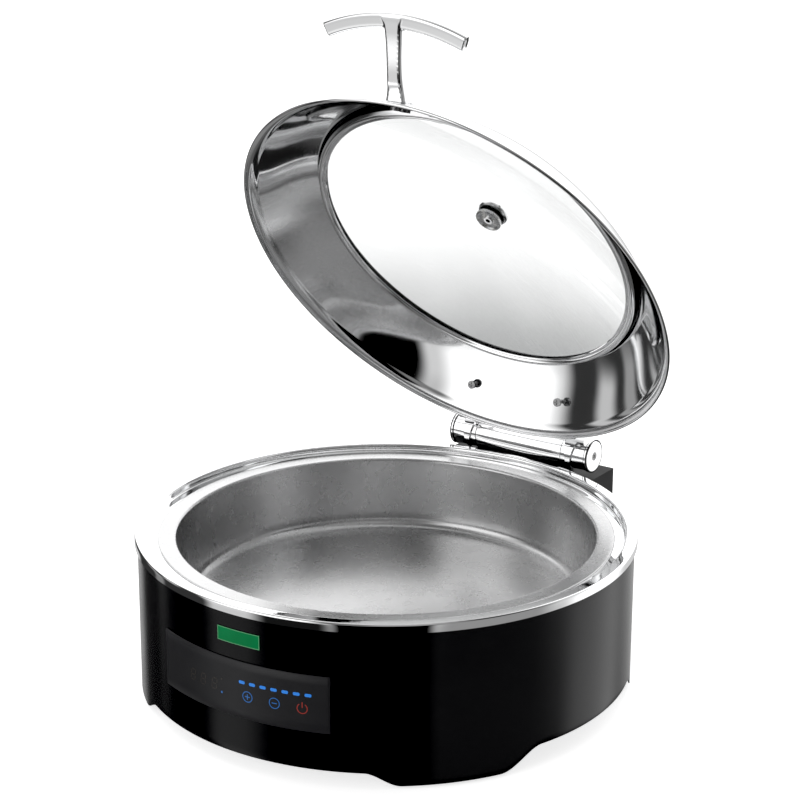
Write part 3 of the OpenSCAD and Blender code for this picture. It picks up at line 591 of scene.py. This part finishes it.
def build_badge():
    """Plain green badge with a raised pale border and no mark."""
    w, z0, z1, cols, line = math.radians(BADGE_WIDE) * SKIRT_R, BADGE_Z0, BADGE_Z1, 24, 0.5
    r = SKIRT_R + 0.62
    points = [[wrap(-w / 2 + w * i / cols, z, r, BADGE_AZ) for i in range(cols + 1)]
              for z in (z0, (z0 + z1) / 2, z1)]

    def rim_of(grid):
        return grid[0] + [grid[1][-1]] + grid[2][::-1] + [grid[1][0]]

    piece("badge_plate", curved_tile_bm(points, rim_of), None, "base", M_GREEN, ["name_badge"])
    bm = bmesh.new()
    for u0, u1, v0, v1 in ((-w / 2, w / 2, z0, z0 + line), (-w / 2, w / 2, z1 - line, z1),
                           (-w / 2, -w / 2 + line, z0 + line, z1 - line),
                           (w / 2 - line, w / 2, z0 + line, z1 - line)):
        m = max(1, round((u1 - u0) / 1.7))
        low = [(u0 + (u1 - u0) * i / m, v0) for i in range(m + 1)]
        high = [(u, v1) for u, _ in low]
        for corners in zip(low, low[1:], high[1:], high):
            plate_bm(corners, r + 0.12, 0.14, BADGE_AZ, bm)
    piece("badge_rim", bm, None, "base", M_GREENEDGE)


# ---------------------------------------------------------------- lid
def lid_face():
    """Outer face of the lid, rim bead to window lip, as (radius, height above the rim)."""
    bead, hollow, crown = 1.6, 1.1, 2
    p = arc((LID_R - bead, bead), bead, -120, 40, 14)
    p += [(LID_R - 2.2 - 7 * k, 3 + 6.4 * k - hollow * math.sin(math.pi * k))
          for k in [0.12 + 0.08 * i for i in range(12)]]
    a, b = (LID_R - 9.2, 9.4), (LIP_R + 5, LIP_H - 1.6)
    nx, ny = b[1] - a[1], a[0] - b[0]
    n = math.hypot(nx, ny)
    p += [(a[0] + (b[0] - a[0]) * k + crown * math.sin(math.pi * k) * nx / n,
           a[1] + (b[1] - a[1]) * k + crown * math.sin(math.pi * k) * ny / n)
          for k in [0.02 + 0.024 * i for i in range(41)]]
    return p + arc((LIP_R + 1.5, LIP_H - 4.5), 4.5, 50, 100, 6) + [(LIP_R, LIP_H - 0.05)]


def build_lid():
    piece("lid_dome", lathe_bm(sheet(lid_face(), LID_T), 360), LID_LOCAL, "lid", M_LID,
          ["lid_shell"], sharp=50)


def build_glass():
    """Domed pane between its edge and the hole for the vent."""
    hole_r, edge_r, n = 4.5, 152, 40

    def cap(s, r0, r1):
        radii = [r0 + (r1 - r0) * i / n for i in range(n + 1)]
        return [(r, GLASS_C + math.sqrt(s * s - r ** 2)) for r in radii]

    outline = cap(GLASS_S, hole_r, edge_r) + cap(GLASS_S - GLASS_T, edge_r, hole_r)
    piece("glass_dome", lathe_bm(outline), LID_LOCAL, "lid", M_GLASS, ["glass_window"],
          sharp=50)


def build_ring_trim():
    """Retaining ring round the window: two soft beads side by side."""
    p = [(146.2, 43.4)] + arc((148, 43.2), 1.7, 170, 10, 14) + arc((151.4, 43.6), 1.5, -160, -20, 10)
    p += [(154.2, 44.6)]
    piece("window_ring", lathe_bm(sheet(p, -0.9), 288), LID_LOCAL, "lid", M_LID,
          ["retaining_ring"], sharp=60)


# ---------------------------------------------------------------- handle
def bar_frame():
    """Handle frame: +X runs along the stem outward, +Y along the bar, in lid coordinates."""
    return (LID_LOCAL @ Matrix.Translation((0, *BAR_C)) @ Matrix.Rotation(math.radians(-90), 4, "Z")
            @ Matrix.Rotation(math.radians(BAR_DIR - 180), 4, "Y"))


def bar_bm():
    """Bowed bar of the handle. Its ends are a little smaller and sunk."""
    length, sag, w, t, corner, n = 136.0, 13.8, 13.5, 7.5, 2.8, 60
    inward = 1.25
    big = (pow(length / 2, 2) + sag * sag) / (2 * sag)
    half = math.asin(length / 2 / big)
    # how far each end ring lies from the bar's end, and its scale, from the middle of the end outward
    ends = ((1.2, 0.62), (0.6, 0.86), (0.0, 0.96))
    stations = [(-half + back / big, f) for back, f in ends]
    stations += [(-half + 2 * half * (i / n), 1.0) for i in range(n + 1)]
    stations += [(half - back / big, f) for back, f in ends[::-1]]
    rings = []
    for a, f in stations:
        c, s = math.cos(a), math.sin(a)
        radii = [(big + u - inward, v) for u, v in rounded_ring(w * f, t * f, corner * f, 6)]
        rings.append([(r * c - big, r * s, v) for r, v in radii])
    return loft_bm(rings)


def stem_bm():
    """Stem: rounded section, waisted in the middle, that thickens and spreads toward the lid."""
    start, length, corner, n = 2.0, 94.0, 3.0, 60
    rings = []
    for i in range(n + 1):
        k = i / n
        foot = ease((k - 0.6) / 0.4)
        waist = math.sin(math.pi * min(1.0, k / 0.85))
        side = 9.5 + 2.5 * ease(1 - k / 0.08) - 2.2 * waist + 3.5 * foot
        top, bottom = 4.2, -4.0 - 6.0 * ease(k * 1.6) - 6.0 * foot
        rings.append([(start - length * k, u, (top + bottom) / 2 + v)
                      for u, v in rounded_ring(2 * side, top - bottom, corner, 6)])
    return loft_bm(rings)


def scratch(name, bm, matrix=None):
    """An object that only helps to shape a piece."""
    bmesh.ops.recalc_face_normals(bm, faces=bm.faces)
    me = bpy.data.meshes.new(name)
    bm.to_mesh(me)
    bm.free()
    if matrix is not None:
        me.transform(matrix)
    ob = bpy.data.objects.new(name, me)
    bpy.context.scene.collection.objects.link(ob)
    return ob


def build_handle():
    """Cast T handle: bar and stem in one, cut to the face of the lid, with soft joins."""
    bar, stem = scratch("handle_a", bar_bm()), scratch("handle_b", stem_bm())
    lid_solid = [(0, -1), (LID_R - 2, -1)] + [(r - 0.05, h - 0.05) for r, h in lid_face()[10:]] + [(0, LIP_H)]
    cutter = scratch("handle_c", lathe_bm(lid_solid, 96), bar_frame().inverted() @ LID_LOCAL)
    for other, operation in ((stem, "UNION"), (cutter, "DIFFERENCE")):
        md = bar.modifiers.new("boolean", "BOOLEAN")
        md.object, md.operation, md.solver = other, operation, "EXACT"
    remesh = bar.modifiers.new("remesh", "REMESH")
    remesh.mode, remesh.voxel_size = "VOXEL", 0.6
    smooth = bar.modifiers.new("smooth", "SMOOTH")
    smooth.factor, smooth.iterations = 0.5, 12
    me = bpy.data.meshes.new_from_object(bar.evaluated_get(bpy.context.evaluated_depsgraph_get()))
    bm = bmesh.new()
    bm.from_mesh(me)
    bpy.data.meshes.remove(me)
    for o in (bar, stem, cutter):
        bpy.data.objects.remove(o)
    piece("handle_cast", bm, bar_frame(), "lid", M_CHROME, ["handle"], sharp=80)


# ---------------------------------------------------------------- hinge
# From an outline's own axis to the hinge axis, which runs along X
AXIS_X = Matrix.Translation((0, HINGE_Y, HINGE_Z)) @ Matrix.Rotation(math.radians(90), 4, "Y")


def build_hinge():
    """Fixed tube between its bushings, with eased ends, and thin black rings at the seams and edges of the
    two end caps, painted shade in place of the dark grooves there.
    """
    b, r, bend, wall = BARREL_HALF, TUBE_R, 0.5, 2
    prof = [(r - wall, -b)] + arc((r - bend, -b + bend), bend, 270, 360, 4)
    prof += [(r, k * b / 4) for k in range(-3, 4)]
    prof += arc((r - bend, b - bend), bend, 0, 90, 4) + [(r - wall, b)]
    piece("hinge_tube", lathe_bm(prof, 160), AXIS_X, "base", M_CHROME, ["hinge_barrel"],
          sharp=50)
    # Thin black rings at the cap's seam and at its outer edge: painted shade in the grooves.
    seam_shade = [(r + 0.15, CAP_X - 3.3)] + arc((r + 0.55, CAP_X - 3.0), 0.35, -90, 90, 6)
    seam_shade += [(r + 0.15, CAP_X - 2.7)]
    edge = arc((r + 0.5, CAP_X - 0.5), 0.42, -60, 150, 8) + [(r - 0.3, CAP_X - 0.6), (r, CAP_X - 1.0)]
    for side, name in ((1, "right"), (-1, "left")):
        for part, prof in (("seam_shade", seam_shade), ("edge", edge)):
            bm = lathe_bm([(p, q * side) for p, q in prof], 128)
            piece(f"cap_{part}_{name}", bm, LID_POSE @ AXIS_X, "lid", M_GROOVE_SHADE)


build_skirt()
build_ring()
build_pan()
build_panel()
build_marks()
build_badge()
build_lid()
build_glass()
build_ring_trim()
build_handle()
build_hinge()

# ---------------------------------------------------------------- studio
# The floor's own light, and how far in metres it lies below the feet
FLOOR_GLOW, FLOOR_DROP = 0.75, 0.0005
# Brightness of the studio, what is added behind the object, and what the camera sees round it
STUDIO, BEHIND, BACKDROP = 0.85, 1.1, 1.02
# Where it is added: azimuths over which it fades in, and its elevation range with softness, in degrees
BEHIND_AZ, BEHIND_EL = (95.0, 125.0), (-2, 60, 8)
# Degrees in a radian
DEG = 57.29578
# Soft cards and flags round the object, from the camera toward its right and up from level, in degrees:
# azimuth range and softness, elevation range and softness, brightness; later rows lie over earlier ones
CARDS = [
    (-181, 181, 1, -91, -28, 8, 0.13),
    (45, 165, 14, -91, -30, 8, 0.02),
    (-75, 80, 10, 8, 78, 8, 0.2),
    (43, 80, 4, 20, 70, 7, 0.06),
    (-8, 40, 8, 30, 66, 8, 0.5),
    (22, 78, 8, -32, 8, 6, 0.36),
    (-150, -86, 4, -60, 24, 8, 0.05),
    (-112, -102, 3, -16, 12, 5, 0.7),
    (-127, -119, 2, -24, 4, 5, 0.4),
    (-80, -33, 5, -13, 44, 4, 1.7),
    (-165, -105, 6, -72, -35, 4, 0.3),
    (-86, -64, 3, -46, -26, 3, 1.15),
    (-60, -24, 6, -60, -16, 3, 0.02),
    (92, 132, 8, -32, 10, 6, 1.6),
    (-23, 21, 3, -60, 9, 5, 0.0),
]


def build_floor():
    """Plain pale floor just under the feet; polished pieces don't mirror it."""
    bm = bmesh.new()
    bmesh.ops.create_grid(bm, x_segments=8, y_segments=8, size=6)
    me = bpy.data.meshes.new("studio_floor")
    bm.to_mesh(me)
    bm.free()
    ob = bpy.data.objects.new("studio_floor", me)
    bpy.context.scene.collection.objects.link(ob)
    me.materials.append(finish("floor_paper", (0.93, 0.93, 0.93), (0.94, 0.94, 0.94), rough=(0.9, 1.0),
                               bump=0.02, bump_scale=60, spec=0.1, emission=(1, 1, 1),
                               emission_strength=FLOOR_GLOW))
    ob.location = (0, 0, -FLOOR_DROP)
    ob.visible_glossy = False


def maths(nt, operation, *values):
    """Maths node on sockets and plain numbers."""
    n = nt.nodes.new("ShaderNodeMath")
    n.operation = operation
    for socket, v in zip(n.inputs, values):
        if isinstance(v, (int, float)):
            socket.default_value = v
        else:
            link(nt, v, socket)
    return n.outputs[0]


def smooth_step(nt, v, lo, hi):
    """0 below lo, 1 above hi, eased between."""
    m = nt.nodes.new("ShaderNodeMapRange")
    m.interpolation_type = "SMOOTHSTEP"
    m.inputs["From Min"].default_value = lo
    m.inputs["From Max"].default_value = hi
    link(nt, v, m.inputs["Value"])
    return m.outputs["Result"]


def between(nt, v, lo, hi, soft):
    """1 from lo to hi, with soft edges."""
    falling = maths(nt, "SUBTRACT", 1.0, smooth_step(nt, v, hi - soft, hi + soft))
    return maths(nt, "MULTIPLY", smooth_step(nt, v, lo - soft, lo + soft), falling)


def over(nt, mask, value, level):
    """The number level laid over value by mask."""
    mix = nt.nodes.new("ShaderNodeMix")
    mix.data_type = "FLOAT"
    link(nt, mask, mix.inputs[0])
    link(nt, value, mix.inputs[2])
    mix.inputs[3].default_value = level
    return mix.outputs[0]


def build_world():
    """White studio whose cards and flags polished steel mirrors; the camera sees plain white."""
    w = bpy.data.worlds.new("studio")
    bpy.context.scene.world = w
    w.use_nodes = True
    nt = w.node_tree
    nt.nodes.clear()
    out = nt.nodes.new("ShaderNodeOutputWorld")
    bg = nt.nodes.new("ShaderNodeBackground")
    link(nt, bg.outputs[0], out.inputs[0])
    tc = nt.nodes.new("ShaderNodeTexCoord")
    turn = nt.nodes.new("ShaderNodeVectorRotate")
    turn.rotation_type = "Z_AXIS"
    turn.inputs["Angle"].default_value = math.radians(-CAM_AZ)
    axes = nt.nodes.new("ShaderNodeSeparateXYZ")
    link(nt, tc.outputs["Generated"], turn.inputs["Vector"])
    link(nt, turn.outputs[0], axes.inputs[0])
    toward = maths(nt, "MULTIPLY", axes.outputs["Y"], -1.0)
    az = maths(nt, "MULTIPLY", maths(nt, "ARCTAN2", axes.outputs["X"], toward), DEG)
    el = maths(nt, "MULTIPLY", maths(nt, "ARCSINE", axes.outputs["Z"]), DEG)
    behind = maths(nt, "MULTIPLY", smooth_step(nt, maths(nt, "ABSOLUTE", az), *BEHIND_AZ),
                   between(nt, el, *BEHIND_EL))
    value = maths(nt, "ADD", STUDIO, maths(nt, "MULTIPLY", behind, BEHIND))
    for a0, a1, a_soft, e0, e1, e_soft, level in CARDS:
        mask = maths(nt, "MULTIPLY", between(nt, az, a0, a1, a_soft), between(nt, el, e0, e1, e_soft))
        value = over(nt, mask, value, level)
    path = nt.nodes.new("ShaderNodeLightPath")
    seen = maths(nt, "MAXIMUM", path.outputs["Is Camera Ray"], path.outputs["Is Transmission Ray"])
    link(nt, over(nt, seen, value, BACKDROP), bg.inputs["Strength"])


build_floor()
build_world()

view = bpy.context.scene.view_settings
view.view_transform = "Standard"
view.use_curve_mapping = True
view.curve_mapping.black_level = (0.008, 0.008, 0.008)
